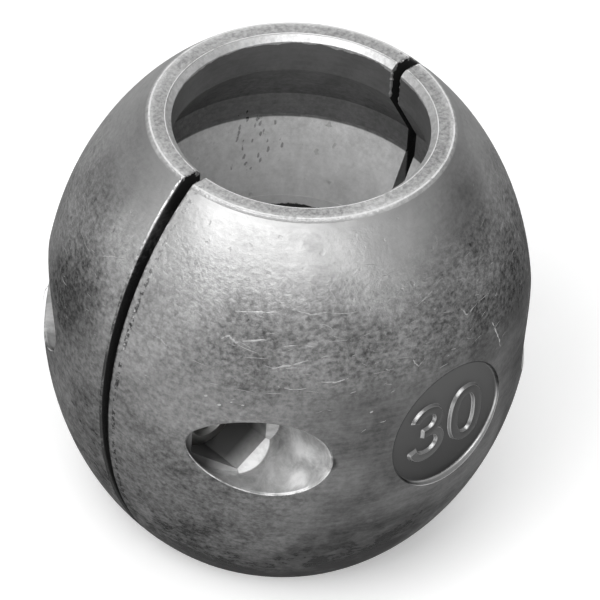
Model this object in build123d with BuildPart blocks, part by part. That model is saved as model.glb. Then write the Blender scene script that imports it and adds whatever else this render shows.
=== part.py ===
"""Collar anode for a propeller shaft: two zinc half shells, two cap screws and two nuts.

The shaft axis is Z and the lower end ring stands on Z = 0. The halves meet near the XZ plane,
the front half on -Y and the rear half on +Y, and the screws run along Y, one on each side of
the shaft. Millimetres throughout.
"""
from build123d import *
import os
from math import asin, cos, degrees, radians, sqrt, tan

# Shaft and body
shaft_dia = 30.0
body_length = 55.0
ring_width = 2.7
ring_edge_radius = 0.5
bore_chamfer = 0.7

# Bore: a land at each end and one in the middle, with a relieved hollow between them
end_land_length = 4.9
mid_land_length = 7.0
hollow_depth = 3.5
hollow_ramp_length = 6.4
hollow_flat_length = 3.1

# Split between the halves, wider at the top than at the bottom
gap_top = 1.5
gap_bottom = 0.7
split_edge_radius = 0.25

# Clamping screws, M5
thread_dia = 5.0
screw_length = 16.0
head_dia = 8.5
head_height = 5.0
head_edge_chamfer = 0.5
socket_flats = 4.0
socket_depth = 2.5
tip_chamfer = 0.6
screw_hole_clearance = 0.25

# Nuts, M5
nut_flats = 8.0
nut_height = 4.0
nut_corner_angle = 30.0
nut_face_dia = 7.8
nut_thread_clearance = 0.05
nut_thread_chamfer = 0.3

# Metal beside the screws: from the bore to the screw hole, and from the pocket to the widest
# point of the body
screw_hole_wall = 2.75
pocket_wall = 2.7

# Pockets in the castings, measured from the shaft axis along the screw
pocket_dia = 10.6
pocket_rim_radius = 0.25
nut_floor_depth = 5.4
nut_side_clearance = 0.2
recess_above_nut = 5.0
recess_flare_angle = 45.0
relief_angle = 40.0
thread_end_setback = 0.8

# Sunk roundel on the front casting
roundel_dia = 16.6
roundel_edge_depth = 0.35
roundel_floor_radius = 0.3

# Sizes that follow
mid_height = body_length / 2
bore_radius = shaft_dia / 2
ring_radius = bore_radius + ring_width
hollow_radius = bore_radius + hollow_depth
screw_hole_radius = thread_dia / 2 + screw_hole_clearance
screw_offset = bore_radius + screw_hole_wall + screw_hole_radius
pocket_radius = pocket_dia / 2
body_radius = screw_offset + pocket_radius + pocket_wall
body_dia = 2 * body_radius
profile_half_axis = mid_height / sqrt(1 - (ring_radius / body_radius) ** 2)
profile_angle = degrees(asin(mid_height / profile_half_axis))
upper_land_end = body_length - end_land_length
hollow_top = upper_land_end - hollow_ramp_length
hollow_bottom = hollow_top - hollow_flat_length
mid_land_top = mid_height + mid_land_length / 2
nut_corner_radius = nut_flats / 2 / cos(radians(30))
nut_corner_drop = (nut_corner_radius - nut_face_dia / 2) * tan(radians(nut_corner_angle))
nut_outer_face = nut_floor_depth + nut_height
nut_thread_radius = thread_dia / 2 + nut_thread_clearance
recess_half_flats = nut_flats / 2 + nut_side_clearance
recess_mouth = nut_outer_face + recess_above_nut
flare_length = (pocket_radius - recess_half_flats) / tan(radians(recess_flare_angle))
head_seat_depth = screw_length - nut_outer_face + thread_end_setback
roundel_floor = sqrt(body_radius**2 - (roundel_dia / 2) ** 2) - roundel_edge_depth

# Planes across the screws, with Z pointing out of the front half. The nut of the left screw
# is in the front half, and the head of the right one.
front_middle = Plane(origin=(0, 0, mid_height), x_dir=(1, 0, 0), z_dir=(0, -1, 0))
left_screw = Plane(origin=(-screw_offset, 0, mid_height), x_dir=(1, 0, 0), z_dir=(0, -1, 0))
right_screw = Plane(origin=(screw_offset, 0, mid_height), x_dir=(1, 0, 0), z_dir=(0, -1, 0))

os.makedirs("parts", exist_ok=True)

# The outside is part of an ellipse turned about the shaft axis and cut off by the flat end
# rings. The bore side carries the lands and the hollows, alike above and below.
bore_upper_half = [
    (ring_radius, body_length),
    (bore_radius + bore_chamfer, body_length),
    (bore_radius, body_length - bore_chamfer),
    (bore_radius, upper_land_end),
    (hollow_radius, hollow_top),
    (hollow_radius, hollow_bottom),
    (bore_radius, mid_land_top),
]
bore_lower_half = [(r, body_length - z) for r, z in reversed(bore_upper_half)]

with BuildPart() as barrel:
    with BuildSketch(Plane.XZ):
        with BuildLine():
            EllipticalCenterArc(
                (0, mid_height),
                body_radius,
                profile_half_axis,
                start_angle=-profile_angle,
                arc_size=2 * profile_angle,
            )
            Polyline(*bore_upper_half, *bore_lower_half)
        make_face()
    revolve(axis=Axis.Z)
    ring_edges = barrel.edges().filter_by(lambda e: abs(e.radius - ring_radius) < 0.01
                                          if e.geom_type == GeomType.CIRCLE else False)
    fillet(ring_edges, ring_edge_radius)

# The nut pocket is as its core leaves it: a hexagon that holds the nut, flats that run out to
# the round bore, and a relief on the thin outer side, where a flat would leave a feather edge.
with BuildPart() as nut_pocket:
    with BuildSketch(left_screw.offset(nut_floor_depth)):
        RegularPolygon(recess_half_flats, 6, major_radius=False, rotation=30)
    extrude(amount=recess_mouth - nut_floor_depth)
    with BuildSketch(left_screw.offset(recess_mouth)):
        RegularPolygon(recess_half_flats, 6, major_radius=False, rotation=30)
    with BuildSketch(left_screw.offset(recess_mouth + flare_length)):
        RegularPolygon(pocket_radius, 6, major_radius=False, rotation=30)
    loft(ruled=True)
    with BuildSketch(left_screw.offset(recess_mouth + flare_length)):
        Rectangle(body_dia, body_dia)
    extrude(amount=body_dia)
    with BuildSketch(Plane.XY.offset(mid_height)):
        with BuildLine():
            Polyline(
                (-screw_offset, -recess_mouth),
                (-screw_offset - body_radius, body_radius * tan(radians(relief_angle)) - recess_mouth),
                (-screw_offset - body_radius, -body_dia),
                (-screw_offset, -body_dia),
                close=True,
            )
        make_face()
    extrude(amount=body_radius, both=True)
    with BuildSketch(left_screw.offset(nut_floor_depth)):
        Circle(pocket_radius)
    extrude(amount=body_dia, mode=Mode.INTERSECT)

# The casting that both halves share. Its parting face leans back from the XZ plane.
parting_lean = (gap_top - gap_bottom) / 2
parting_plane = Plane(
    origin=(0, -gap_bottom / 2, 0), x_dir=(1, 0, 0), z_dir=(0, -body_length, -parting_lean)
)

with BuildPart() as casting:
    add(barrel.part)
    add(nut_pocket.part, mode=Mode.SUBTRACT)
    nut_rim = casting.edges(Select.LAST).sort_by(SortBy.LENGTH)[-1]
    fillet(nut_rim, pocket_rim_radius)
    with BuildSketch(right_screw.offset(head_seat_depth)):
        Circle(pocket_radius)
    extrude(amount=body_dia, mode=Mode.SUBTRACT)
    head_rim = casting.edges(Select.LAST).sort_by(SortBy.LENGTH)[-1]
    fillet(head_rim, pocket_rim_radius)
    with BuildSketch(left_screw, right_screw):
        Circle(screw_hole_radius)
    extrude(amount=head_seat_depth, mode=Mode.SUBTRACT)
    split(bisect_by=parting_plane, keep=Keep.TOP)
    split_edges = [
        edge
        for face in casting.faces().filter_by(parting_plane)
        for edge in face.outer_wire().edges()
        if edge.geom_type in (GeomType.LINE, GeomType.BSPLINE)
    ]
    fillet(split_edges, split_edge_radius)

with BuildPart() as half_shell_front:
    add(casting.part)
    with BuildSketch(front_middle.offset(roundel_floor)):
        Circle(roundel_dia / 2)
    extrude(amount=body_dia, mode=Mode.SUBTRACT)
    floor_edge = half_shell_front.edges(Select.LAST).filter_by(GeomType.CIRCLE)
    fillet(floor_edge, roundel_floor_radius)

with BuildPart() as half_shell_rear:
    add(casting.part, rotation=(0, 0, 180))

# Socket head cap screw, drawn where the right one sits. Its thread is left plain.
with BuildPart() as screw:
    head_seat = right_screw.offset(head_seat_depth)
    with BuildSketch(head_seat):
        Circle(head_dia / 2)
    extrude(amount=head_height)
    chamfer(screw.edges().sort_by(Axis.Y)[0], head_edge_chamfer)
    with BuildSketch(head_seat.offset(head_height)):
        RegularPolygon(socket_flats / 2, 6, major_radius=False)
    extrude(amount=-socket_depth, mode=Mode.SUBTRACT)
    with BuildSketch(head_seat):
        Circle(thread_dia / 2)
    extrude(amount=-screw_length)
    chamfer(screw.edges().sort_by(Axis.Y)[-1], tip_chamfer)

# Nut of the left screw, seated on the floor of the recess in the front half
with BuildPart() as nut:
    nut_axis_plane = Plane(origin=left_screw.origin, x_dir=(1, 0, 0), z_dir=(0, 0, 1))
    with BuildSketch(nut_axis_plane):
        with BuildLine():
            Polyline(
                (0, -nut_floor_depth),
                (nut_face_dia / 2, -nut_floor_depth),
                (nut_corner_radius, -nut_floor_depth - nut_corner_drop),
                (nut_corner_radius, -nut_outer_face + nut_corner_drop),
                (nut_face_dia / 2, -nut_outer_face),
                (0, -nut_outer_face),
                close=True,
            )
        make_face()
    revolve(axis=Axis(left_screw.origin, (0, 1, 0)))
    with BuildSketch(left_screw.offset(nut_floor_depth)):
        RegularPolygon(nut_flats / 2, 6, major_radius=False, rotation=30)
    extrude(amount=nut_height, mode=Mode.INTERSECT)
    with BuildSketch(left_screw.offset(nut_floor_depth)):
        Circle(nut_thread_radius)
    extrude(amount=nut_height, mode=Mode.SUBTRACT)
    thread_edges = nut.edges(Select.LAST).filter_by(GeomType.CIRCLE)
    chamfer(thread_edges, nut_thread_chamfer)

half_shell_front.part.label = "half_shell_front"
export_step(half_shell_front.part, "parts/half_shell_front.step")
half_shell_rear.part.label = "half_shell_rear"
export_step(half_shell_rear.part, "parts/half_shell_rear.step")

# The second screw and the second nut are the first ones turned half a turn about the shaft
for side, turn in (("right", 0), ("left", 180)):
    with BuildPart() as cap_screw:
        add(screw.part, rotation=(0, 0, turn))
    cap_screw.part.label = f"cap_screw_{side}"
    export_step(cap_screw.part, f"parts/cap_screw_{side}.step")

for side, turn in (("left", 0), ("right", 180)):
    with BuildPart() as hex_nut:
        add(nut.part, rotation=(0, 0, turn))
    hex_nut.part.label = f"hex_nut_{side}"
    export_step(hex_nut.part, f"parts/hex_nut_{side}.step")
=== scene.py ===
"""Dresses the collar anode: the finish of the castings and the fasteners, the raised numerals,
the screw threads, the handling marks and the studio round it.

Panel sizes are millimetres and angles are degrees. The mesh code works in metres in the frame's
own axes: the shaft axis is Z, the front half is on -Y and the lower end ring stands on Z = 0.
"""

from math import cos, pi, radians, sin

import bpy
import numpy as np
from bpy.props import FloatProperty, PointerProperty, StringProperty
from mathutils import Matrix, Vector


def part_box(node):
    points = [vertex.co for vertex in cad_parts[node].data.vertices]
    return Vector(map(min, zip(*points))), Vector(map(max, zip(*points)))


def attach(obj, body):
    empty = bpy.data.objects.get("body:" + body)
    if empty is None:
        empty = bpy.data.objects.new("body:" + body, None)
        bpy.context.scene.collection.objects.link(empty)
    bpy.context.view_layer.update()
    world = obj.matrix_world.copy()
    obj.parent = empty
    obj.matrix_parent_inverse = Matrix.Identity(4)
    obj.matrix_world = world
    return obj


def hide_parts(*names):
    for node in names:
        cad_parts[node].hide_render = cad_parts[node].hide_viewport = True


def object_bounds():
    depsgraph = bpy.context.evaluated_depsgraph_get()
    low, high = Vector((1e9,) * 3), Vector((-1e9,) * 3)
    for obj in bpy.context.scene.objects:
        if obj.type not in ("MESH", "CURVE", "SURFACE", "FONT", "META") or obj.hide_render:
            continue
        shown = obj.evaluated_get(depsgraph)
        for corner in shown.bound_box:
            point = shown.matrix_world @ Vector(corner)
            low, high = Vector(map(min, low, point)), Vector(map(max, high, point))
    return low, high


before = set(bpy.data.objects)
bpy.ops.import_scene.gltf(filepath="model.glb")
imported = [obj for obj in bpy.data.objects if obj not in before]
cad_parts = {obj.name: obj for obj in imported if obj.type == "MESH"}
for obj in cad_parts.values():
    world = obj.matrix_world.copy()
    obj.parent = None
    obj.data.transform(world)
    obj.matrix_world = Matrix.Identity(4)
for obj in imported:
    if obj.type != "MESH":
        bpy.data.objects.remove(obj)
cad_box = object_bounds()

bl_info = {
    "name": "Collar anode",
    "version": (1, 0),
    "blender": (4, 5, 0),
    "location": "3D View > Sidebar > Anode",
    "description": "Cast zinc collar anode with its fasteners, numerals and studio",
    "category": "Object",
}

MM = 0.001
CASTINGS = ("half_shell_front", "half_shell_rear")
FULL_TURN = 2 * pi

# Sizes of the CAD solids in mm that several pieces share
MID_HEIGHT = 27.5
SCREW_OFFSET = 20.5
HALF_GAP_BOTTOM = 0.35
HALF_GAP_TOP = 0.75
THREAD_RADIUS = 2.5

# Short marks take this as the barrel's radius in mm, to turn their length into an angle
MARK_RADIUS = 25

# How far the square floor reaches from its middle, in metres, and the picture's width in pixels
FLOOR_REACH = 3.0
PICTURE_WIDTH = 600


# Sizes and colours

class AnodeBodySettings(bpy.types.PropertyGroup):
    body_radius: FloatProperty(
        name="Body radius", description="Widest radius of the barrel, in mm",
        default=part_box("half_shell_rear")[1].y / MM)
    body_length: FloatProperty(
        name="Body length", description="Height between the end rings, in mm",
        default=cad_box[1].z / MM)
    ring_radius: FloatProperty(
        name="Ring radius", description="Outer radius of the flat end rings, in mm", default=17.7)
    bore_radius: FloatProperty(
        name="Bore radius", description="Radius of the lands that grip the shaft, in mm",
        default=15.0)
    clean_zinc: StringProperty(
        name="Clean zinc", description="sRGB colour of freshly rubbed metal", default="#B4B4B4")
    dull_zinc: StringProperty(
        name="Dull zinc", description="sRGB colour of the grey oxide skin", default="#3C3C3C")


class NumeralSettings(bpy.types.PropertyGroup):
    stroke_width: FloatProperty(
        name="Stroke width", description="Width of a numeral's ridge, in mm", default=1.5)
    stroke_height: FloatProperty(
        name="Stroke height", description="Height of the ridge over the roundel, in mm",
        default=0.45)
    roundel_depth: FloatProperty(
        name="Roundel floor",
        description="Distance of the roundel's floor from the shaft axis, in mm", default=26.914)
    centre_height: FloatProperty(
        name="Numeral height", description="Height of the middle of the numerals, in mm",
        default=27.3)


class FastenerSettings(bpy.types.PropertyGroup):
    thread_pitch: FloatProperty(
        name="Thread pitch", description="Pitch of the M5 coarse thread, in mm", default=0.8)
    thread_depth: FloatProperty(
        name="Thread depth", description="Depth of the thread, in mm", default=0.45)
    knurl_count: FloatProperty(
        name="Knurl ridges", description="Ridges round a screw head", default=40)
    knurl_depth: FloatProperty(
        name="Knurl depth", description="Depth of the knurl, in mm", default=0.12)
    steel: StringProperty(
        name="Stainless steel", description="sRGB colour of the fasteners", default="#9A9A98")


class StudioSettings(bpy.types.PropertyGroup):
    camera_azimuth: FloatProperty(
        name="Camera azimuth", description="Compass angle of the camera from +X, in degrees",
        default=224.5)
    camera_elevation: FloatProperty(
        name="Camera elevation", description="Angle above the floor, in degrees", default=40.543)
    camera_roll: FloatProperty(
        name="Camera roll", description="Tilt of the picture, in degrees", default=4.715)
    camera_distance: FloatProperty(
        name="Camera distance", description="From the camera to its target, in mm", default=1200)
    focal_pixels: FloatProperty(
        name="Focal length", description="In pixels of the 600 pixel wide picture", default=10286.1)
    target_right: FloatProperty(
        name="Target right", description="Target's offset to the right of the shaft axis, in mm",
        default=1.507)
    target_up: FloatProperty(
        name="Target up", description="Target's height over the middle of the body, in mm",
        default=0.291)
    floor_colour: StringProperty(
        name="Floor", description="sRGB colour of the floor", default="#F0F0F0")


# Meshes

def grid_faces(rows, columns, close_rows=False, close_columns=False):
    """Quads of a grid whose vertex (i, j) has the number i * columns + j."""
    i, j = np.meshgrid(
        np.arange(rows if close_rows else rows - 1),
        np.arange(columns if close_columns else columns - 1),
        indexing="ij",
    )
    i, j = i.ravel(), j.ravel()
    i_next, j_next = (i + 1) % rows, (j + 1) % columns
    return np.stack([i * columns + j, i_next * columns + j, i_next * columns + j_next,
                     i * columns + j_next], 1)


def join(shells):
    """One set of points and faces from several (points, faces) shells."""
    counts = [len(points) for points, _ in shells]
    first = np.concatenate([[0], np.cumsum(counts)[:-1]])
    faces = [[vertex + int(start) for vertex in face]
             for start, (_, part) in zip(first, shells) for face in part]
    return np.concatenate([points for points, _ in shells]), faces


def turned_shell(radius, along, angle):
    """A closed shell: radius (rows, columns) about the Y axis at the places along (rows, columns).

    The first and last rows shrink to one pole each, so the shell has no opening and no seam.
    """
    x, z = radius * np.cos(angle), radius * np.sin(angle)
    rows, columns = x.shape
    points = np.stack([x, along, z], 2).reshape(-1, 3)
    poles = np.array([[0, along[0].mean(), 0], [0, along[-1].mean(), 0]])
    j = np.arange(columns)
    j_next = (j + 1) % columns
    last = (rows - 1) * columns
    low_fan = np.stack([np.full(columns, rows * columns), j, j_next], 1)
    high_fan = np.stack([np.full(columns, rows * columns + 1), last + j_next, last + j], 1)
    faces = grid_faces(rows, columns, close_columns=True).tolist()
    return np.concatenate([points, poles]), faces + low_fan.tolist() + high_fan.tolist()


def make_piece(name, points, faces, material, slot):
    """A smooth-shaded object at the origin from points in metres, riding on the anode.

    Edges that turn by more than 35 degrees stay crisp.
    """
    mesh = bpy.data.meshes.new(name)
    mesh.from_pydata(points.reshape(-1, 3).tolist(), [], faces)
    mesh.update()
    mesh.shade_smooth()
    mesh.set_sharp_from_angle(angle=radians(35))
    mesh.materials.append(material)
    piece = bpy.data.objects.new(name, mesh)
    bpy.context.scene.collection.objects.link(piece)
    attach(piece, "root")
    return piece


def barrel_half_axis(body):
    """Half the height in mm of the ellipse whose middle part is the barrel's profile."""
    return body.body_length / 2 / (1 - (body.ring_radius / body.body_radius) ** 2) ** 0.5


def barrel_radius(body, height):
    """Radius of the barrel in mm at a height in mm."""
    rise = (height - body.body_length / 2) / barrel_half_axis(body)
    return body.body_radius * (1 - rise ** 2) ** 0.5


# Materials

def linear(colour):
    """Linear red, green, blue and alpha of an sRGB hex colour such as "#808080"."""
    parts = [int(colour[k:k + 2], 16) / 255 for k in (1, 3, 5)]
    return [c / 12.92 if c <= 0.04045 else ((c + 0.055) / 1.055) ** 2.4 for c in parts] + [1.0]


def add_node(tree, kind, inputs=None, **settings):
    """Adds a node. Inputs are values, or sockets to link from; settings are its attributes."""
    node = tree.nodes.new(kind)
    for name, value in settings.items():
        setattr(node, name, value)
    for key, value in (inputs or {}).items():
        if isinstance(value, bpy.types.NodeSocket):
            tree.links.new(value, node.inputs[key])
        else:
            node.inputs[key].default_value = value
    return node


def new_material(name):
    """An empty node material with its output, and its tree."""
    material = bpy.data.materials.new(name)
    material.use_nodes = True
    material.node_tree.nodes.clear()
    return material, material.node_tree


def as_cast_zinc(body):
    """Zinc from an iron mould: a dull grey oxide skin, rubbed bright where it was handled.

    The eye sees a satin grey metal, clouded in patches of a few millimetres, speckled with fine
    dark pits and brushed by slanting streaks. Painted highlights lighten the edges of the rings,
    the roundel and the split, the shoulder, the lower taper of the bore and the pockets' bores;
    painted shade darkens the skin towards the floor, near its silhouettes, on the middle land and
    in the split. The end rings are filed, the chamfer of the bore is turned white, and pockets and
    roundel are smooth.
    """
    material, tree = new_material("as_cast_zinc")
    place = add_node(tree, "ShaderNodeTexCoord").outputs["Object"]
    middle = body.body_length * MM / 2
    half_axis = barrel_half_axis(body) * MM
    x, y, z = add_node(tree, "ShaderNodeSeparateXYZ", {0: place}).outputs
    rise = add_node(tree, "ShaderNodeMath", {0: z, 1: middle}, operation="SUBTRACT").outputs[0]
    beside = add_node(tree, "ShaderNodeMath", {0: x}, operation="ABSOLUTE").outputs[0]
    beside = add_node(tree, "ShaderNodeMath", {0: beside, 1: SCREW_OFFSET * MM},
                      operation="SUBTRACT").outputs[0]
    field = {"x": x, "y": y, "z": z, "rise": rise}

    # Distances from the shaft axis, from the axis of the nearest screw and from the roundel's
    for name, across, up in (("radius", x, y), ("from_screw", beside, rise),
                             ("from_roundel", x, rise)):
        flat = add_node(tree, "ShaderNodeCombineXYZ", {0: across, 1: up}).outputs[0]
        field[name] = add_node(tree, "ShaderNodeVectorMath", {0: flat},
                               operation="LENGTH").outputs[1]

    # Reach is 1 on the barrel's ellipse and less in the bore and in the pockets
    squash = (1 / (body.body_radius * MM), 1 / (body.body_radius * MM), 1 / half_axis)
    centred = add_node(tree, "ShaderNodeVectorMath", {0: place, 1: (0, 0, middle)},
                       operation="SUBTRACT").outputs[0]
    round_place = add_node(tree, "ShaderNodeVectorMath", {0: centred, 1: squash},
                           operation="MULTIPLY").outputs[0]
    field["reach"] = add_node(tree, "ShaderNodeVectorMath", {0: round_place},
                              operation="LENGTH").outputs[1]

    # Patterns, by size in mm: clouds, mottle, grain, nearly level streaks, scuffs of about
    # 0.35 mm by 1 mm, and the noise that makes the pits and the dashes ragged
    drawn_out = add_node(tree, "ShaderNodeMapping",
                         {0: place, 2: (radians(6), radians(-9), 0), 3: (0.12, 0.12, 1)},
                         vector_type="POINT").outputs[0]
    level = add_node(tree, "ShaderNodeMapping",
                     {0: place, 2: (radians(14), radians(-20), 0), 3: (1, 1, 1.6)},
                     vector_type="POINT").outputs[0]
    for name, vector, size, detail, roughness, distortion in (
        ("clouds", place, 13, 3, 0.6, 0.6), ("mottle", place, 2.5, 5, 0.7, 0.4),
        ("grain", place, 0.55, 3, 0.65, 0), ("streaks", drawn_out, 0.5, 4, 0.7, 0),
        ("scuffs", level, 0.9, 4, 0.65, 0.2), ("raggedness", place, 0.5, 2, 0.5, 0),
    ):
        noise = add_node(tree, "ShaderNodeTexNoise",
                         {"Vector": vector, "Scale": 1 / (size * MM), "Detail": detail,
                          "Roughness": roughness, "Distortion": distortion})
        field[name] = noise.outputs[1 if name == "raggedness" else 0]

    # Filed lines round the end rings, 0.12 mm apart
    field["lines"] = add_node(tree, "ShaderNodeTexNoise",
                              {"W": field["radius"], "Scale": 1 / (0.12 * MM), "Detail": 2.0},
                              noise_dimensions="1D").outputs[0]

    # Ragged pits 0.3 to 0.7 mm wide, one in about every third cell of 1.4 mm
    shaken = add_node(tree, "ShaderNodeVectorMath",
                      {0: field["raggedness"], 1: [0.9 * MM] * 3, 2: place},
                      operation="MULTIPLY_ADD").outputs[0]
    cells = add_node(tree, "ShaderNodeTexVoronoi", {"Vector": shaken, "Scale": 1 / (1.4 * MM)})
    field["cell_chance"] = add_node(tree, "ShaderNodeSeparateXYZ",
                                    {0: cells.outputs["Color"]}).outputs[0]
    field["cell_distance"] = cells.outputs["Distance"]

    # A cluster of dark dashes, 0.15 mm by 0.4 mm, on the upper taper of the rear half
    bent = add_node(tree, "ShaderNodeVectorMath",
                    {0: field["raggedness"], 1: [0.35 * MM] * 3, 2: place},
                    operation="MULTIPLY_ADD").outputs[0]
    slanted = add_node(tree, "ShaderNodeMapping",
                       {0: bent, 2: (radians(-25), radians(35), 0), 3: (1, 1, 2.8)},
                       vector_type="TEXTURE").outputs[0]
    field["dash_distance"] = add_node(
        tree, "ShaderNodeTexVoronoi", {"Vector": slanted, "Scale": 1 / (0.62 * MM)},
    ).outputs["Distance"]
    field["from_cluster"] = add_node(
        tree, "ShaderNodeVectorMath", {0: place, 1: (8.0 * MM, 15.4 * MM, 37.4 * MM)},
        operation="DISTANCE").outputs[1]

    # Steps of the finish. Each has a name, an operation, its inputs, which are numbers or the
    # names of earlier fields, and the masks that its result is multiplied by. LINEAR and
    # SMOOTHSTEP ramps map a field from two limits to 0 and 1, or to the two values that follow.
    for name, operation, inputs, *masks in (
        ("height", "ABSOLUTE", ["rise"]),
        ("depth", "ABSOLUTE", ["y"]),
        ("outside", "SMOOTHSTEP", ["reach", 0.982, 0.992]),
        ("bore", "LINEAR", ["radius", 18.9 * MM, 18.5 * MM]),
        ("past_chamfer", "LINEAR", ["radius", 15.62 * MM, 15.75 * MM]),
        ("ring", "LINEAR", ["height", middle - 0.35 * MM, middle - 0.1 * MM], "past_chamfer"),
        ("taper", "LINEAR", ["height", 12.85 * MM, 12.7 * MM], "bore"),

        # Pockets and roundel, where the casting is smooth
        ("frontal", "LINEAR", ["y", -26 * MM, -26.5 * MM]),
        ("in_roundel", "LINEAR", ["from_roundel", 8.15 * MM, 8.0 * MM], "frontal"),
        ("in_pocket", "LINEAR", ["from_screw", 5.42 * MM, 5.34 * MM]),
        ("smooth", "MAXIMUM", ["in_pocket", "in_roundel"]),
        ("rough", "SUBTRACT", [1.0, "smooth"]),
        ("pit_size", "LINEAR", ["cell_chance", 0.52, 1.0, 0.0, 0.28]),
        ("pits", "SUBTRACT", ["pit_size", "cell_distance"]),
        ("pits", "LINEAR", ["pits", 0.0, 0.09]),

        # Painted highlights on the edges: the roundel's rim, brightest at its lower right, where
        # its wall faces the light
        ("slant", "MULTIPLY", ["x", 0.57]),
        ("slant", "MULTIPLY_ADD", ["rise", -1.0, "slant"]),
        ("low_right", "LINEAR", ["slant", 3 * MM, 6 * MM, -0.14, 0.7]),
        ("roundel_rim", "COMPARE", ["from_roundel", 8.28 * MM, 0.12 * MM], "frontal", "low_right"),

        # the split's edges, with a painted highlight that is broken in places and stronger near the
        # top
        ("half_gap", "LINEAR", ["z", 0.0, 2 * middle, HALF_GAP_BOTTOM * MM, HALF_GAP_TOP * MM]),
        ("from_split", "SUBTRACT", ["depth", "half_gap"]),
        # the split's faces are painted dark, painted shade in the narrow gap
        ("parting", "LESS_THAN", ["from_split", 0.04 * MM]),
        ("split_rim", "COMPARE", ["from_split", 0.17 * MM, 0.12 * MM]),
        ("upper_split", "LINEAR", ["z", 42 * MM, 54 * MM, 0.1, 0.9]),
        ("broken", "LINEAR", ["grain", 0.42, 0.55], "upper_split"),
        ("broken", "SUBTRACT", ["broken", 0.3]),

        # the rounded corner and the inner lip of the end rings, with painted highlights
        ("near_end", "GREATER_THAN", ["height", middle - 0.6 * MM]),
        ("corner", "COMPARE", ["radius", 17.56 * MM, 0.11 * MM]),
        ("lip", "COMPARE", ["radius", 15.72 * MM, 0.11 * MM]),
        ("corner", "MAXIMUM", ["corner", "lip"], "near_end"),

        # and the lower edge of the pockets' mouths, with a painted highlight where the edge faces
        # up
        ("lower_rim", "LINEAR", ["rise", 2 * MM, -2 * MM]),
        ("pocket_rim", "COMPARE", ["from_screw", 5.46 * MM, 0.08 * MM], "lower_rim"),
        ("rims", "MULTIPLY_ADD", ["split_rim", "broken", "pocket_rim"]),
        ("rims", "MULTIPLY_ADD", ["rims", "outside", "corner"]),
        # the painted highlight on the roundel's edge is broken up by the mottle
        ("worn", "LINEAR", ["mottle", 0.38, 0.55, 0.25, 1.0]),
        ("rims", "MULTIPLY_ADD", ["rims", "worn", "roundel_rim"]),

        # The turned chamfer of the bore, with a ragged edge towards the land below it
        ("ragged", "LINEAR", ["mottle", 0.3, 0.7, middle - 1.25 * MM, middle - 0.75 * MM]),
        ("before_ring", "SUBTRACT", [1.0, "past_chamfer"]),
        ("chamfer", "GREATER_THAN", ["height", "ragged"], "before_ring"),

        # The round bores of the pockets are painted lighter than the recesses at their bottoms, and
        # the flared flats between the two lightest: painted light where the light reaches into the
        # pockets, with the recesses left in shade
        ("pocket_bore", "LINEAR", ["depth", 12.0 * MM, 15.0 * MM], "in_pocket"),
        ("facets", "LESS_THAN", ["from_screw", 5.24 * MM], "pocket_bore"),

        # The scuffed band below the shoulder, which reaches lower on the left, and the lower part
        ("left_side", "LINEAR", ["x", -14 * MM, -22 * MM, 0.2, 0.6]),
        ("rubbed", "SMOOTHSTEP", ["z", 46 * MM, 52 * MM, 1.0, 0.3]),
        ("shielded", "LINEAR", ["bore", 0.0, 1.0, 1.0, 0.45]),
        ("scuffed", "SMOOTHSTEP", ["z", 34 * MM, 42 * MM, "left_side", 1.0],
         "rubbed", "rough", "shielded"),
        ("low_part", "LINEAR", ["z", 18 * MM, 9 * MM], "rough"),
        ("cluster", "MULTIPLY_ADD", ["mottle", -10 * MM, "from_cluster"]),
        ("cluster", "LESS_THAN", ["cluster", -1.6 * MM]),
        ("dashes", "LINEAR", ["dash_distance", 0.30, 0.22], "cluster"),

        # The middle land is painted dark as shade but for its ends, which get a painted highlight,
        # and the flat of the hollow is light
        ("ragged", "MULTIPLY_ADD", ["mottle", 1.4 * MM, "height"]),
        ("dark_land", "LINEAR", ["ragged", 3.0 * MM, 2.85 * MM], "bore"),
        ("land_end", "COMPARE", ["height", 2.85 * MM, 0.7 * MM], "bore"),
        ("flat_band", "COMPARE", ["height", 14.65 * MM, 1.55 * MM], "bore"),

        # A dotted dark line by the flash, on the left of the front half and the right of the rear
        ("left_front", "MULTIPLY", ["x", "y"]),
        ("left_front", "GREATER_THAN", ["left_front", 0.0]),
        ("dotted", "LINEAR", ["grain", 0.5, 0.42]),
        ("by_split", "COMPARE", ["from_split", 1.05 * MM, 0.25 * MM],
         "left_front", "outside", "dotted"),

        # Relief: grain, scuffs, dents and pits on the rough skin, filed lines on the rings
        ("relief", "MULTIPLY", ["grain", 0.5]),
        ("relief", "MULTIPLY_ADD", ["scuffs", 0.9, "relief"]),
        ("relief", "MULTIPLY_ADD", ["mottle", 1.2, "relief"]),
        ("relief", "MULTIPLY_ADD", ["pits", -0.5, "relief"], "scuffed"),
        ("filed", "MULTIPLY", ["lines", 0.4]),
        ("filed", "MULTIPLY_ADD", ["grain", 1.4, "filed"]),
        ("relief", "MULTIPLY_ADD", ["filed", "ring", "relief"]),

        # Tone from 0, dull, to 1, clean: painted shade darkens the skin towards the floor, and a
        # painted highlight lightens the shoulder where the light falls
        ("shoulder", "SMOOTHSTEP", ["z", 38 * MM, 54 * MM, 0.0, 0.30], "outside"),
        ("tone", "LINEAR", ["z", 0.0, 2 * middle, 0.0, 0.50]),
        ("tone", "ADD", ["tone", "shoulder"]),
    ):
        sockets = {k: field.get(value, value) for k, value in enumerate(inputs)}
        if operation in ("LINEAR", "SMOOTHSTEP"):
            step = add_node(tree, "ShaderNodeMapRange", sockets, interpolation_type=operation)
        else:
            step = add_node(tree, "ShaderNodeMath", sockets, operation=operation)
        for mask in masks:
            step = add_node(tree, "ShaderNodeMath", {0: step.outputs[0], 1: field[mask]},
                            operation="MULTIPLY")
        field[name] = step.outputs[0]
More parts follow.
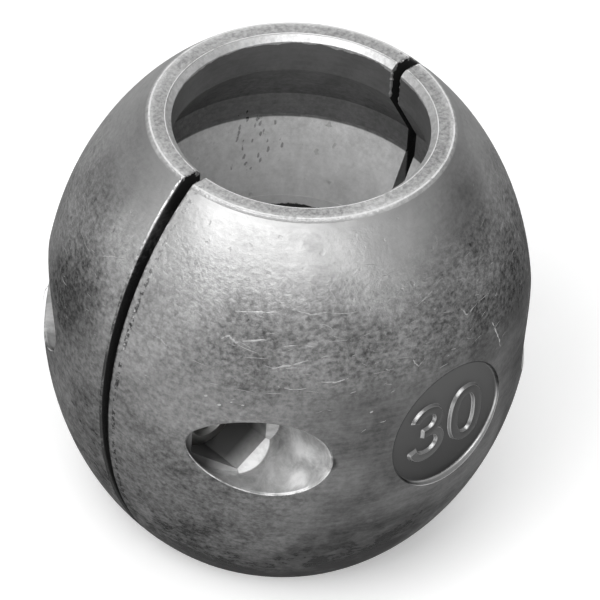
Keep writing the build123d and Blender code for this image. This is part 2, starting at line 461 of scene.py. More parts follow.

    # Dull stains and rubbed patches, and painted shade and light: azimuth in degrees, height and
    # radius in mm, and how much lighter. The dark patches at azimuths 161, 150, 155, -48 and -84
    # are painted shade towards the silhouettes, where the sides turn from the light, and the light
    # one at -107 is a painted highlight on the shoulder
    patches = []
    for azimuth, patch_z, reach_out, amount in (
        (-70, 49.5, 7.5, -0.30), (-143, 43.5, 6.0, -0.15), (-116, 43.5, 6.0, -0.12),
        (161, 37.0, 8.0, -0.16), (150, 48.0, 6.5, -0.14), (155, 33.5, 8.0, -0.16),
        (-92, 46.0, 7.0, -0.13), (-84, 39.0, 9.0, -0.12), (-48, 36.0, 19.0, -0.2),
        (-60, 53.2, 6.0, -0.22), (-116, 33.0, 8.0, -0.16), (40, 38.0, 9.0, -0.14),
        (95, 47.0, 8.0, -0.16), (173, 47.0, 7.5, 0.26), (-160, 45.0, 6.0, 0.08),
        (-107, 51.4, 9.5, 0.44), (-173, 51.0, 7.0, 0.12), (-177, 38.5, 7.5, 0.16),
    ):
        patch_radius = barrel_radius(body, patch_z) * MM
        centre = (patch_radius * cos(radians(azimuth)), patch_radius * sin(radians(azimuth)),
                  patch_z * MM)
        away = add_node(tree, "ShaderNodeVectorMath", {0: place, 1: centre},
                        operation="DISTANCE").outputs[1]
        ragged = add_node(tree, "ShaderNodeMath", {0: field["clouds"], 1: -8 * MM, 2: away},
                          operation="MULTIPLY_ADD").outputs[0]
        stain_and_painted_light = add_node(tree, "ShaderNodeMapRange",
                         {0: ragged, 1: (reach_out - 4) * MM, 2: (reach_out * 0.3 - 4) * MM},
                         interpolation_type="SMOOTHSTEP").outputs[0]
        stain_and_painted_light = add_node(tree, "ShaderNodeMath", {0: stain_and_painted_light, 1: field["rough"]},
                         operation="MULTIPLY").outputs[0]
        patches.append((stain_and_painted_light, amount))

    # Painted highlights and painted shade on the wall of the front nut pocket, light where the
    # light falls in and dark where it is shaded, and a faint round mark left on the shoulder:
    # centre in mm, radius with its soft edge in mm, and how much lighter
    for centre, reach_out, soft, amount in (
        ((-15.4, -18.9, 26.3), 1.9, 1.6, 0.55), ((-15.3, -20.6, 26.9), 1.3, 1.0, 0.35),
        ((-16.9, -20.9, 23.6), 1.7, 1.4, 0.60), ((-17.9, -19.2, 22.9), 2.4, 1.8, 0.35),
        ((-15.6, -15.6, 25.2), 1.6, 1.2, -0.35), ((-15.4, -22.3, 26.0), 1.5, 1.2, -0.25),
        ((-16.0, -14.6, 27.6), 2.0, 0.9, -0.65), ((-15.2, -23.9, 27.2), 1.3, 1.0, -0.35),
        ((-21.8, -12.4, 22.4), 2.2, 1.6, 0.30), ((-12.08, -15.38, 53.02), 1.25, 0.2, -0.09),
    ):
        away = add_node(tree, "ShaderNodeVectorMath",
                        {0: place, 1: [c * MM for c in centre]}, operation="DISTANCE").outputs[1]
        spot = add_node(tree, "ShaderNodeMapRange",
                        {0: away, 1: reach_out * MM, 2: (reach_out - soft) * MM},
                        interpolation_type="SMOOTHSTEP").outputs[0]
        patches.append((spot, amount))

    # Each pattern shifts the tone by up to its amount, up or down, where its mask is 1
    tone = field["tone"]
    for source, low, high, amount, where in (
        ("clouds", 0.35, 0.65, 0.10, "rough"), ("mottle", 0.35, 0.65, 0.06, "scuffed"),
        ("mottle", 0.35, 0.65, 0.09, "low_part"), ("scuffs", 0.38, 0.62, 0.11, "scuffed"),
        ("grain", 0.38, 0.62, 0.12, "scuffed"), ("streaks", 0.35, 0.65, 0.035, "rough"),
        ("pits", -1.0, 1.0, -0.15, "scuffed"), ("lines", 0.3, 0.7, 0.05, "ring"),
        ("grain", 0.35, 0.65, 0.24, "ring"), ("grain", 0.35, 0.65, 0.20, "chamfer"),
        ("mottle", 0.38, 0.62, 0.30, "pocket_bore"), ("mottle", 0.35, 0.65, 0.12, "taper"),
        ("grain", 0.35, 0.65, 0.06, "taper"), ("pits", -1.0, 1.0, -0.30, "taper"),
    ):
        part = add_node(tree, "ShaderNodeMapRange",
                        {0: field[source], 1: low, 2: high, 3: -amount, 4: amount}).outputs[0]
        tone = add_node(tree, "ShaderNodeMath", {0: part, 1: field[where], 2: tone},
                        operation="MULTIPLY_ADD").outputs[0]
    metallic = add_node(tree, "ShaderNodeMath", {0: field["taper"], 1: -0.6, 2: 0.75},
                        operation="MULTIPLY_ADD").outputs[0]
    # Painted highlights lighten the edges, the lower taper of the bore, the ends of the middle land
    # and the pockets' bores and flats where the light falls, and painted shade darkens the middle
    # land and the split's faces
    for where, amount in (("rims", 1.4), ("ring", 0.28), ("chamfer", 0.9), ("pocket_bore", 0.9),
                          ("facets", 0.6), ("in_roundel", -0.15), ("taper", 1.0),
                          ("dashes", -0.75), ("flat_band", 0.18), ("land_end", 0.5),
                          ("dark_land", -2.2), ("parting", -0.7), ("by_split", -0.35), *patches):
        tone = add_node(tree, "ShaderNodeMath", {0: field.get(where, where), 1: amount, 2: tone},
                        operation="MULTIPLY_ADD").outputs[0]
    for where, amount in (("pocket_bore", -0.15), ("ring", -0.25), ("chamfer", -0.1),
                          ("rims", -0.2)):
        metallic = add_node(tree, "ShaderNodeMath", {0: field[where], 1: amount, 2: metallic},
                            operation="MULTIPLY_ADD").outputs[0]
    tone = add_node(tree, "ShaderNodeClamp", {0: tone, 1: 0.0, 2: 1.8}).outputs[0]
    colour = add_node(tree, "ShaderNodeMix",
                      {0: tone, 6: linear(body.dull_zinc), 7: linear(body.clean_zinc)},
                      data_type="RGBA", clamp_factor=False).outputs[2]
    roughness = add_node(tree, "ShaderNodeMapRange",
                         {0: tone, 1: 0.1, 2: 1.2, 3: 0.56, 4: 0.34}).outputs[0]
    roughness = add_node(tree, "ShaderNodeMath", {0: field["chamfer"], 1: 0.16, 2: roughness},
                         operation="MULTIPLY_ADD").outputs[0]
    bump = add_node(tree, "ShaderNodeBump",
                    {"Height": field["relief"], "Strength": 0.7, "Distance": 0.2 * MM}).outputs[0]
    shader = add_node(tree, "ShaderNodeBsdfPrincipled",
                      {"Base Color": colour, "Metallic": metallic, "Roughness": roughness,
                       "Specular Tint": (0.3, 0.3, 0.3, 1), "Normal": bump})
    add_node(tree, "ShaderNodeOutputMaterial", {"Surface": shader.outputs[0]})
    return material


def smooth_cast_zinc(numerals):
    """Zinc cast smooth against the mould's engraving: dark on the flat tops of the numerals, and
    painted lighter on their steep sides with a sheen, a painted highlight where the sides catch the
    light."""
    material, tree = new_material("smooth_cast_zinc")
    place = add_node(tree, "ShaderNodeTexCoord").outputs["Object"]
    y = add_node(tree, "ShaderNodeSeparateXYZ", {0: place}).outputs[1]
    top = -(numerals.roundel_depth + numerals.stroke_height) * MM
    side = add_node(tree, "ShaderNodeMapRange",
                    {0: y, 1: top + 0.03 * MM, 2: top + 0.09 * MM}).outputs[0]
    colour = add_node(tree, "ShaderNodeMix",
                      {0: side, 6: linear("#383838"), 7: linear("#9E9E9E")},
                      data_type="RGBA").outputs[2]
    roughness = add_node(tree, "ShaderNodeMapRange", {0: side, 3: 0.5, 4: 0.24}).outputs[0]
    shader = add_node(tree, "ShaderNodeBsdfPrincipled",
                      {"Base Color": colour, "Metallic": 0.6, "Roughness": roughness})
    add_node(tree, "ShaderNodeOutputMaterial", {"Surface": shader.outputs[0]})
    return material


def rubbed_zinc():
    """Zinc scraped bright: a pale, clean metal with fine streaks, on scratches and bruises."""
    material, tree = new_material("rubbed_zinc")
    place = add_node(tree, "ShaderNodeTexCoord").outputs["Object"]
    streaks = add_node(tree, "ShaderNodeTexNoise",
                       {"Vector": place, "Scale": 1 / (0.3 * MM), "Detail": 2.0})
    colour = add_node(tree, "ShaderNodeMix",
                      {0: streaks.outputs[0], 6: linear("#7C7C7C"), 7: linear("#B8B8B8")},
                      data_type="RGBA")
    shader = add_node(tree, "ShaderNodeBsdfPrincipled",
                      {"Base Color": colour.outputs[2], "Metallic": 0.6, "Roughness": 0.4})
    add_node(tree, "ShaderNodeOutputMaterial", {"Surface": shader.outputs[0]})
    return material


def stainless_steel(fasteners):
    """Stainless steel, cold formed: a clean grey metal with a soft sheen and faint drawn marks."""
    material, tree = new_material("stainless_steel")
    place = add_node(tree, "ShaderNodeTexCoord").outputs["Object"]
    marks = add_node(tree, "ShaderNodeTexNoise",
                     {"Vector": place, "Scale": 1 / (0.8 * MM), "Detail": 3.0})
    roughness = add_node(tree, "ShaderNodeMapRange",
                         {0: marks.outputs[0], 1: 0.3, 2: 0.7, 3: 0.28, 4: 0.42})
    shader = add_node(tree, "ShaderNodeBsdfPrincipled",
                      {"Base Color": linear(fasteners.steel), "Metallic": 1.0,
                       "Roughness": roughness.outputs[0]})
    add_node(tree, "ShaderNodeOutputMaterial", {"Surface": shader.outputs[0]})
    return material


def white_paper(studio):
    """A matt white paper floor. Lit parts reach full white to the eye and in metal."""
    material, tree = new_material("white_paper")
    ray = add_node(tree, "ShaderNodeLightPath").outputs
    seen = ray["Is Camera Ray"]
    for kind in ("Is Glossy Ray", "Is Transmission Ray"):
        seen = add_node(tree, "ShaderNodeMath", {0: seen, 1: ray[kind]},
                        operation="MAXIMUM").outputs[0]
    glow = add_node(tree, "ShaderNodeMath", {0: seen, 1: 0.3}, operation="MULTIPLY")
    shader = add_node(tree, "ShaderNodeBsdfPrincipled",
                      {"Base Color": linear(studio.floor_colour), "Roughness": 0.9,
                       "Emission Color": (1, 1, 1, 1), "Emission Strength": glow.outputs[0]})
    add_node(tree, "ShaderNodeOutputMaterial", {"Surface": shader.outputs[0]})
    return material


# Numerals

def ridge(path, width, height, closed):
    """Points of a rounded ridge carried along a path in a plane, as a (rows, columns, 3) array.

    Across the stroke, at s from -1 to 1, the top is flat up to |s| = 0.6 and the sides fall off
    as a cosine. An open end is cut square, with the same slope. The third number of each point
    is the height.
    """
    if closed:
        tangent = np.roll(path, -1, axis=0) - np.roll(path, 1, axis=0)
    else:
        tangent = np.gradient(path, axis=0)
    tangent /= np.linalg.norm(tangent, axis=1, keepdims=True)
    normal = np.stack([-tangent[:, 1], tangent[:, 0]], 1)
    slope = 0.2 * width
    edge = np.linspace(0.6, 1, 11)
    across = np.concatenate([-edge[::-1], [0], edge])
    flat = path[:, None, :] + normal[:, None, :] * (across * width / 2)[None, :, None]
    side = np.clip((1 - np.abs(across)) * width / 2 / slope, 0, 1)
    up = height * (0.5 - 0.5 * np.cos(pi * side))[None, :] * np.ones((len(path), 1))
    if not closed:
        steps = np.linalg.norm(np.diff(path, axis=0), axis=1)
        along = np.concatenate([[0], np.cumsum(steps)])
        end = np.clip(np.minimum(along, along[-1] - along) / slope, 0, 1)
        up = up * (0.5 - 0.5 * np.cos(pi * end))[:, None]
    return np.concatenate([flat, up[:, :, None]], 2)


def arc(centre, radii, start, end, count=60):
    """Points on an ellipse from start to end, in degrees, evenly by angle."""
    angle = np.radians(np.linspace(start, end, count))
    return np.stack([centre[0] + radii[0] * np.cos(angle), centre[1] + radii[1] * np.sin(angle)], 1)


def rounded_loop(centre, radii, power, count=121):
    """A closed loop between an ellipse and a box: |x/a|^power + |z/b|^power = 1."""
    angle = np.linspace(0, FULL_TURN, count)
    c, s = np.cos(angle), np.sin(angle)
    x = centre[0] + radii[0] * np.sign(c) * np.abs(c) ** (2 / power)
    z = centre[1] + radii[1] * np.sign(s) * np.abs(s) ** (2 / power)
    return np.stack([x, z], 1)


def make_numeral(name, strokes, numerals, material):
    """Raises strokes, paths in mm across the front, on the floor of the roundel."""
    shells = []
    for number, path in enumerate(strokes):
        closed = np.allclose(path[0], path[-1])
        path = path[:-1] if closed else path
        shape = ridge(path, numerals.stroke_width, numerals.stroke_height - 0.015 * number, closed)
        y = -numerals.roundel_depth + 0.02 - shape[:, :, 2]
        points = np.stack([shape[:, :, 0], y, shape[:, :, 1]], 2).reshape(-1, 3) * MM
        shells.append((points, grid_faces(*shape.shape[:2], close_rows=closed).tolist()))
    return make_piece(name, *join(shells), material, "cast_zinc")


# Fasteners, drawn in mm as the right-hand pair: the screw's axis is Y and its head is on -Y

def hexagon(angle, half_flats):
    """Radius of a hexagon at an angle, with a flat across every multiple of 60 degrees."""
    return half_flats / np.cos((angle + pi / 6) % (pi / 3) - pi / 6)


def thread_radius(angle, along, fasteners, clearance=0.0):
    """Radius of the M5 thread: a 60 degree V wave along a right-handed helix, cut flat at its
    crests and roots."""
    turn = along / fasteners.thread_pitch + angle / FULL_TURN
    wave = 1 - 2 * np.abs(turn % 1 - 0.5)
    wave = np.clip(wave * 1.25 - 0.125, 0, 1)
    return THREAD_RADIUS - fasteners.thread_depth * (1 - wave) + clearance


def cap_screw(fasteners):
    """A closed head, turned from a profile with a knurled side and a hexagon socket, and a
    closed threaded shank whose end is chamfered. Its sizes are those of the CAD screw."""
    seat, head_top, tip = -7.4, -12.4, 8.6
    head_radius, tip_radius = 4.25, 1.9
    knurls = int(fasteners.knurl_count)
    angle = np.linspace(0, FULL_TURN, knurls * 6, endpoint=False)[None, :]
    ones = np.ones_like(angle)
    socket = hexagon(angle, 2.0)
    knurl = fasteners.knurl_depth * (0.5 + 0.5 * np.cos(knurls * angle))
    rows = [
        (1.2 * ones, head_top + 2.9), (0.97 * socket, head_top + 2.5), (socket, head_top + 2.45),
        (socket, head_top + 0.2), (np.maximum(socket, 2.32), head_top),
        (3.7 * ones, head_top), (3.8 * ones, head_top + 0.04), (4.2 * ones, head_top + 0.46),
        (head_radius - 0.5 * knurl, head_top + 0.6), (head_radius - knurl, head_top + 0.8),
        (head_radius - knurl, seat - 0.35), (head_radius - 0.5 * knurl, seat - 0.2),
        (4.1 * ones, seat - 0.03), (4.0 * ones, seat), (2.6 * ones, seat),
    ]
    radius = np.concatenate([row for row, _ in rows])
    along = np.concatenate([np.full_like(angle, y) for _, y in rows])
    head = turned_shell(radius, along, angle)

    angle = np.linspace(0, FULL_TURN, 48, endpoint=False)[None, :]
    threaded = np.arange(seat + 0.8, tip, fasteners.thread_pitch / 8)
    along = np.concatenate([[seat - 0.5, seat], threaded, [tip]])[:, None]
    radius = thread_radius(angle, along, fasteners)
    radius[:2] = 2.45
    radius = np.minimum(radius, tip_radius + np.maximum(tip - along, 0))
    shank = turned_shell(radius, np.broadcast_to(along, radius.shape), angle)
    return join([head, shank])


def hex_nut(fasteners):
    """A nut as one closed ring: hexagon sides cut by a 30 degree cone at both faces, and a
    thread inside that follows the screw's helix with 0.05 mm to spare."""
    inner, outer = 5.4, 9.4
    half_flats, face_radius, mouth_radius = 4.0, 3.9, 2.85
    angle = np.linspace(0, FULL_TURN, 72, endpoint=False)[None, :]
    ones = np.ones_like(angle)
    side = hexagon(angle + pi / 6, half_flats)
    drop = (side - face_radius) * np.tan(pi / 6)
    along = np.arange(outer - 0.1, inner + 0.1, -fasteners.thread_pitch / 8)[:, None]
    cut = thread_radius(angle, along, fasteners, clearance=0.05)
    cut = np.maximum(cut, mouth_radius - np.minimum(along - inner, outer - along))
    mouth, face = mouth_radius * ones, face_radius * ones
    radius = np.concatenate([mouth, face, side, side, face, mouth, cut])
    along = np.concatenate([inner * ones, inner * ones, inner + drop, outer - drop, outer * ones,
                            outer * ones, np.broadcast_to(along, cut.shape)])
    points = np.stack([radius * np.cos(angle), along, radius * np.sin(angle)], 2)
    faces = grid_faces(*radius.shape, close_rows=True, close_columns=True)
    return points.reshape(-1, 3), faces.tolist()


# Marks on the barrel

def barrel_point(body, azimuth, height):
    """Points on the barrel in mm, and its outward normals, at an azimuth and a height.

    The barrel is x^2/a^2 + y^2/a^2 + (z - m)^2/c^2 = 1, and its normal is the gradient of that.
    """
    radius = barrel_radius(body, height)
    point = np.stack([radius * np.cos(azimuth), radius * np.sin(azimuth), height], 1)
    normal = np.stack([point[:, 0] / body.body_radius ** 2, point[:, 1] / body.body_radius ** 2,
                       (height - body.body_length / 2) / barrel_half_axis(body) ** 2], 1)
    return point, normal / np.linalg.norm(normal, axis=1, keepdims=True)


def split_half_gap(body, height):
    """Half the width in mm of the split between the castings, at a height in mm."""
    return HALF_GAP_BOTTOM + (HALF_GAP_TOP - HALF_GAP_BOTTOM) * height / body.body_length


def raised_line(path, outward, width, height):
    """A thin ridge in mm along a path on a surface, as a shell of points in metres and faces.

    Across it, at s from -1 to 1, it stands height * (1 - s^2) over the surface. The width and
    the height are arrays along the path. Nothing stands out of the castings' box.
    """
    tangent = np.gradient(path, axis=0)
    sideways = np.cross(outward, tangent)
    sideways /= np.linalg.norm(sideways, axis=1, keepdims=True)
    across = np.array([-1, -0.6, 0, 0.6, 1])
    up = (1 - across[None, :] ** 2) * height[:, None]
    points = (path[:, None, :]
              + sideways[:, None, :] * (across[None, :] * width[:, None] / 2)[:, :, None]
              + outward[:, None, :] * (up - 0.01)[:, :, None])
    points = np.clip(points.reshape(-1, 3) * MM, np.array(cad_box[0]), np.array(cad_box[1]))
    return points, grid_faces(len(path), 5).tolist()


def wander(rng, count, spread, step):
    """A smooth random line of count values: noise at every step-th place, interpolated."""
    knots = rng.normal(0, spread, count // step + 3)
    return np.interp(np.arange(count) / step, np.arange(len(knots)), knots)


# Operators

class MakeCastings(bpy.types.Operator):
    """Give the two castings their zinc finish"""
    bl_idname = "anode.castings"
    bl_label = "Castings"

    def execute(self, context):
        material = as_cast_zinc(context.scene.anode_body)
        for name in CASTINGS:
            mesh_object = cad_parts[name]
            mesh_object.data.materials.clear()
            mesh_object.data.materials.append(material)
        return {"FINISHED"}


class MakeNumerals(bpy.types.Operator):
    """Raise the shaft size, 30, on the roundel"""
    bl_idname = "anode.numerals"
    bl_label = "Numerals"

    def execute(self, context):
        numerals = context.scene.anode_numerals
        material = smooth_cast_zinc(numerals)
        mid = numerals.centre_height
        upper_bowl = arc((-3.05, mid + 1.75), (1.85, 1.65), 165, -90, 90)
        middle_bar = np.stack([np.linspace(-3.1, -3.7, 8), np.full(8, mid + 0.1)], 1)
        lower_bowl = arc((-2.85, mid - 1.65), (2.1, 1.75), 90, -175, 90)
        three = [np.concatenate([upper_bowl, middle_bar]), lower_bowl]
        zero = [rounded_loop((3.15, mid), (1.85, 3.4), 2.3)]
        make_numeral("numeral_3", three, numerals, material)
        make_numeral("numeral_0", zero, numerals, material)
        return {"FINISHED"}


class MakeFasteners(bpy.types.Operator):
    """Make the cap screws and nuts with their threads, knurls and sockets"""
    bl_idname = "anode.fasteners"
    bl_label = "Fasteners"

    def execute(self, context):
        fasteners = context.scene.anode_fasteners
        material = stainless_steel(fasteners)
        screw_points, screw_faces = cap_screw(fasteners)
        nut_points, nut_faces = hex_nut(fasteners)
        low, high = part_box("cap_screw_right")
        centre = np.array([(low.x + high.x) / 2, 0, (low.z + high.z) / 2])
        half_turn = np.array([-1, -1, 1])
        for side, turn in (("right", np.ones(3)), ("left", half_turn)):
            screw = make_piece(f"threaded_screw_{side}", (screw_points * MM + centre) * turn,
                               screw_faces, material, "stainless_steel")
            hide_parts(f"cap_screw_{side}")
            nut = make_piece(f"threaded_nut_{side}", (nut_points * MM + centre) * turn,
                             nut_faces, material, "stainless_steel")
            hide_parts(f"hex_nut_{side}")
        return {"FINISHED"}


class MakeMarks(bpy.types.Operator):
    """Add the scratches, the flash line by the left split and the burrs left by sawing"""
    bl_idname = "anode.marks"
    bl_label = "Handling marks"

    def execute(self, context):
        body = context.scene.anode_body
        material = rubbed_zinc()
        rng = np.random.default_rng(30)

        # Scratches: width in mm, then azimuth in degrees and height in mm of the points passed
        shells = []
        for width, *stops in (
            (0.26, (-149.5, 45.6), (-145.0, 45.8), (-141.0, 46.1), (-137.5, 46.3)),
            (0.20, (-151.8, 42.1), (-149.7, 42.9), (-147.8, 42.2), (-143.8, 42.8), (-139.4, 43.2)),
            (0.16, (-169.8, 39.6), (-167.5, 39.8), (-165.0, 39.2)),
            (0.17, (-138.4, 39.9), (-133.6, 40.5), (-128.7, 41.2)),
            (0.13, (-136.0, 42.6), (-131.0, 42.9), (-124.5, 42.5)),
            (0.12, (-134.1, 46.7), (-128.6, 46.2), (-123.7, 46.5)),
            (0.12, (-126.0, 38.6), (-122.0, 38.4), (-118.5, 38.9)),
            (0.10, (-137.0, 38.0), (-133.0, 37.6), (-128.0, 37.9)),
            (0.17, (166.7, 43.5), (170.2, 44.6), (174.9, 45.3)),
            (0.14, (-102.6, 39.9), (-101.2, 38.9), (-100.1, 38.2), (-97.8, 39.1)),
            (0.14, (-84.9, 42.6), (-83.1, 41.3), (-78.7, 41.8)),
            (0.16, (-87.2, 51.7), (-85.3, 50.8), (-86.0, 50.0), (-88.6, 49.8)),
            (0.20, (-74.8, 38.5), (-73.2, 36.2), (-72.3, 34.0)),
            (0.15, (-110.0, 46.2), (-104.5, 46.9), (-100.0, 47.4)),
            (0.12, (-112.5, 48.4), (-107.0, 49.2), (-103.0, 49.4)),
            (0.14, (-99.5, 45.0), (-95.0, 45.7), (-92.2, 46.0)),
            (0.11, (-60.0, 30.0), (-52.0, 33.5), (-47.0, 34.6)),
            (0.13, (-22.0, 44.0), (-16.0, 45.0), (-9.0, 44.6)),
            (0.12, (34.0, 40.5), (43.0, 41.9), (51.0, 41.4)),
            (0.14, (96.0, 45.2), (104.0, 45.9), (110.0, 46.6)),
            (0.11, (120.0, 22.0), (131.0, 24.5), (139.0, 24.9)),
        ):
            stops = np.array(stops)
            count = 16 * len(stops)
            place = np.linspace(0, len(stops) - 1, count)
            azimuth = np.radians(np.interp(place, np.arange(len(stops)), stops[:, 0]))
            height = np.interp(place, np.arange(len(stops)), stops[:, 1])
            azimuth = azimuth + np.radians(wander(rng, count, 0.15, 6))
            height = height + wander(rng, count, 0.04, 6)
            path, outward = barrel_point(body, azimuth, height)
            taper = np.sin(np.linspace(0, pi, count)) ** 0.5
            broken = np.clip(0.8 + wander(rng, count, 0.45, 3), 0.05, 1.2)
            shells.append(raised_line(path, outward, 1.4 * width * taper * broken,
                                      0.22 * width * taper * broken))

        # Many faint short ones, which keep clear of the split, the pockets and the roundel
        tries, off_split, off_screw, off_roundel = 420, 2.8, 6.2, 9.5
        along = np.linspace(-0.5, 0.5, 14)
        for _ in range(tries):
            azimuth = rng.uniform(0, FULL_TURN)
            height = rng.normal(41, 4.5)
            length = 0.5 + rng.exponential(0.8)
            slope = rng.normal(0, 0.22)
            bend = rng.normal(0, 0.25) * (along ** 2 - 0.25)
            path, outward = barrel_point(body, azimuth + along * length / MARK_RADIUS,
                                         np.clip(height + (along * slope + bend) * length, 6, 52))
            width = rng.uniform(0.05, 0.11) * np.cos(along * pi) ** 0.5
            x, y, z = path[7]
            from_screw = np.hypot(abs(x) - SCREW_OFFSET, z - MID_HEIGHT)
            from_roundel = np.hypot(x, z - MID_HEIGHT)
            if (abs(y) > off_split and from_screw > off_screw
                    and (y > 0 or from_roundel > off_roundel)):
                shells.append(raised_line(path, outward, width, 0.15 * width))
        make_piece("scratches", *join(shells), material, "cast_zinc")

        # Specks: short bright bruises
        specks = np.array([(-152.9, 35.0), (-149.4, 34.3), (-146.6, 35.0), (-143.8, 34.9),
                           (-118.4, 49.4), (-105.2, 49.0), (-106.2, 48.2), (-169.0, 34.5),
                           (-161.0, 43.0), (-113.0, 34.0), (-93.0, 44.0)])
        shells = []
        for azimuth, height in np.radians(specks) * (1, 180 / pi):
            along = np.linspace(-1, 1, 7)
            size = rng.uniform(0.12, 0.25)
            lean = rng.uniform(-0.6, 0.6)
            path, outward = barrel_point(body, azimuth + along * size / MARK_RADIUS,
                                         height + along * size * lean)
            shells.append(raised_line(path, outward, size * np.sqrt(1 - along ** 2) * 1.2,
                                      0.05 * np.sqrt(1 - along ** 2)))
        make_piece("bruises", *join(shells), material, "cast_zinc")

        # Flash: a lumpy line where the mould halves met, 1 mm from the split
        count = 420
        from_split = 1.0
        height = np.linspace(19.0, 47.0, count)
        depth = split_half_gap(body, height) + from_split + wander(rng, count, 0.06, 8)
        azimuth = pi + np.arcsin(depth / barrel_radius(body, height))
        path, outward = barrel_point(body, azimuth, height)
        lumps = np.clip(0.35 + wander(rng, count, 0.5, 3), 0.0, 1.3)
        lumps = lumps * np.sin(np.linspace(0, pi, count)) ** 0.3
        shells = [raised_line(path, outward, 0.12 + 0.36 * lumps, 0.13 * lumps)]
        make_piece("flash_line", *join(shells), bpy.data.materials["as_cast_zinc"], "cast_zinc")

        # Burrs: ragged lips where the ends of the split were broken open, on the bore's edges
        # and on the ring's. Each runs down the bore, then out along the ring.
        shells = []
        count = 60
        half_gap = split_half_gap(body, np.linspace(50.2, 54.9, count))
        swell = np.sin(np.linspace(0, pi, count)) ** 0.3
        for side, half, size in ((1, 1, 0.42), (1, -1, 0.34), (-1, 1, 0.22), (-1, -1, 0.26)):
            down = np.linspace(50.2, 54.2, count)
            path = np.stack([side * np.sqrt(body.bore_radius ** 2 - half_gap ** 2), half * half_gap,
                             down], 1)
            outward = np.tile(np.array([-side, -half, 0]) / np.sqrt(2), (count, 1))
            lumps = np.clip(0.45 + wander(rng, count, 0.4, 4), 0.1, 1.2) * swell
            shells.append(raised_line(path, outward, size * (0.3 + lumps), 0.5 * size * lumps))
            out = np.linspace(15.6, 17.4, count)
            path = np.stack([side * out, np.full(count, half * HALF_GAP_TOP),
                             np.full(count, 54.86)], 1)
            outward = np.tile(np.array([0, -half, 0.0]), (count, 1))
            lumps = np.clip(0.25 + wander(rng, count, 0.6, 3), 0, 1.2) * swell
            shells.append(raised_line(path, outward, 0.6 * size * (0.3 + lumps),
                                      0.5 * size * lumps))
        make_piece("split_burrs", *join(shells), material, "cast_zinc")
        return {"FINISHED"}


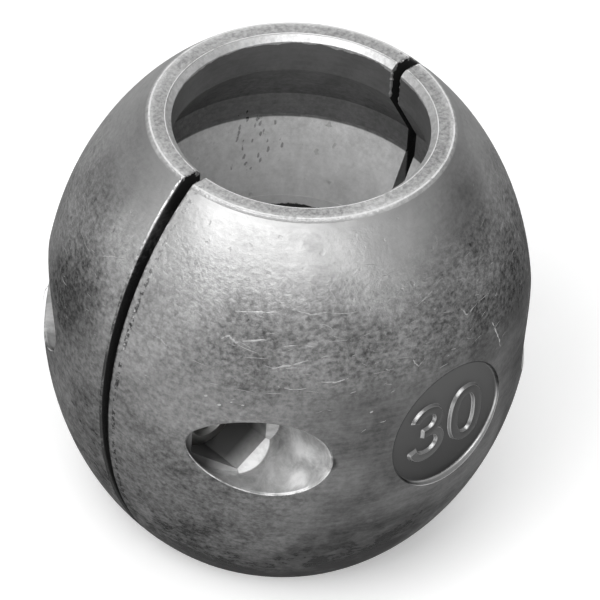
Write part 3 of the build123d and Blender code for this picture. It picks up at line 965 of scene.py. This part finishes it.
class MakeStudio(bpy.types.Operator):
    """Set up the camera, the floor, the lamps and the world"""
    bl_idname = "anode.studio"
    bl_label = "Studio"

    def execute(self, context):
        scene = context.scene
        studio = scene.anode_studio
        middle = scene.anode_body.body_length * MM / 2
        azimuth = radians(studio.camera_azimuth)
        elevation = radians(studio.camera_elevation)
        roll = radians(studio.camera_roll)
        outward = np.array([np.cos(azimuth), np.sin(azimuth), 0])
        level = np.array([-np.sin(azimuth), np.cos(azimuth), 0])
        back = np.cos(elevation) * outward + np.array([0, 0, np.sin(elevation)])
        up = np.cross(back, level)
        right = np.cos(roll) * level + np.sin(roll) * up
        top = -np.sin(roll) * level + np.cos(roll) * up
        target = studio.target_right * MM * level + np.array([0, 0, middle + studio.target_up * MM])
        eye = target + studio.camera_distance * MM * back

        lens = bpy.data.cameras.new("camera")
        lens.sensor_width = 36
        lens.lens = studio.focal_pixels * lens.sensor_width / PICTURE_WIDTH
        lens.clip_start, lens.clip_end = 0.05, 20
        camera = bpy.data.objects.new("camera", lens)
        pose = np.column_stack([right, top, back, eye]).tolist()
        camera.matrix_world = Matrix(pose + [[0, 0, 0, 1]])
        scene.collection.objects.link(camera)
        scene.camera = camera

        corners = FLOOR_REACH * np.array([[-1, -1, 0], [1, -1, 0], [1, 1, 0], [-1, 1, 0]])
        mesh = bpy.data.meshes.new("floor")
        mesh.from_pydata(corners.tolist(), [], [(0, 1, 2, 3)])
        mesh.materials.append(white_paper(studio))
        floor = bpy.data.objects.new("floor", mesh)
        scene.collection.objects.link(floor)

        # name, angle to the left of the camera, elevation, distance, width and power
        for name, left, height, distance, width, power in (
            ("key_softbox", 42, 45, 0.6, 0.5, 2.02),
            ("fill_softbox", -12, 38, 0.6, 0.45, 1.0),
            ("top_softbox", 5, 68, 0.6, 0.4, 0.9),
            ("back_left_softbox", 150, 45, 0.6, 0.4, 0.22),
            ("back_right_softbox", -150, 45, 0.6, 0.4, 0.2),
            ("rear_softbox", 180, 22, 0.8, 0.7, 1.4),
        ):
            turn, lift = radians(left), radians(height)
            away = np.cos(turn) * outward - np.sin(turn) * level
            away = np.cos(lift) * away + np.array([0, 0, np.sin(lift)])
            lamp = bpy.data.lights.new(name, "AREA")
            lamp.shape = "DISK"
            lamp.size = width
            lamp.energy = power
            lamp_object = bpy.data.objects.new(name, lamp)
            lamp_object.location = Vector(away * distance + np.array([0, 0, middle]))
            lamp_object.rotation_mode = "QUATERNION"
            lamp_object.rotation_quaternion = Vector(away).to_track_quat("Z", "Y")
            lamp_object.visible_camera = False
            scene.collection.objects.link(lamp_object)

        world = bpy.data.worlds.new("studio")
        world.use_nodes = True
        world.node_tree.nodes.clear()
        tree = world.node_tree
        sky = add_node(tree, "ShaderNodeBackground",
                       {"Color": (1, 1, 1, 1), "Strength": 0.3})
        add_node(tree, "ShaderNodeOutputWorld", {"Surface": sky.outputs[0]})
        scene.world = world
        scene.view_settings.view_transform = "Standard"
        return {"FINISHED"}


OPERATORS = (MakeCastings, MakeNumerals, MakeFasteners, MakeMarks, MakeStudio)


class AnodePanel(bpy.types.Panel):
    """Buttons for the pieces of the anode and for the studio"""
    bl_idname = "VIEW3D_PT_anode"
    bl_label = "Collar anode"
    bl_space_type = "VIEW_3D"
    bl_region_type = "UI"
    bl_category = "Anode"

    def draw(self, context):
        for group_name, group in SETTINGS.items():
            for name in group.__annotations__:
                self.layout.prop(getattr(context.scene, group_name), name)
        for operator in OPERATORS:
            self.layout.operator(operator.bl_idname)


SETTINGS = {
    "anode_body": AnodeBodySettings,
    "anode_numerals": NumeralSettings,
    "anode_fasteners": FastenerSettings,
    "anode_studio": StudioSettings,
}
CLASSES = (*SETTINGS.values(), *OPERATORS, AnodePanel)


def register():
    for item in CLASSES:
        bpy.utils.register_class(item)
    for name, group in SETTINGS.items():
        setattr(bpy.types.Scene, name, PointerProperty(type=group))


def unregister():
    for name in SETTINGS:
        delattr(bpy.types.Scene, name)
    for item in reversed(CLASSES):
        bpy.utils.unregister_class(item)


def main():
    register()
    bpy.ops.anode.castings()
    bpy.ops.anode.numerals()
    bpy.ops.anode.fasteners()
    bpy.ops.anode.marks()
    bpy.ops.anode.studio()


if __name__ == "__main__":
    main()
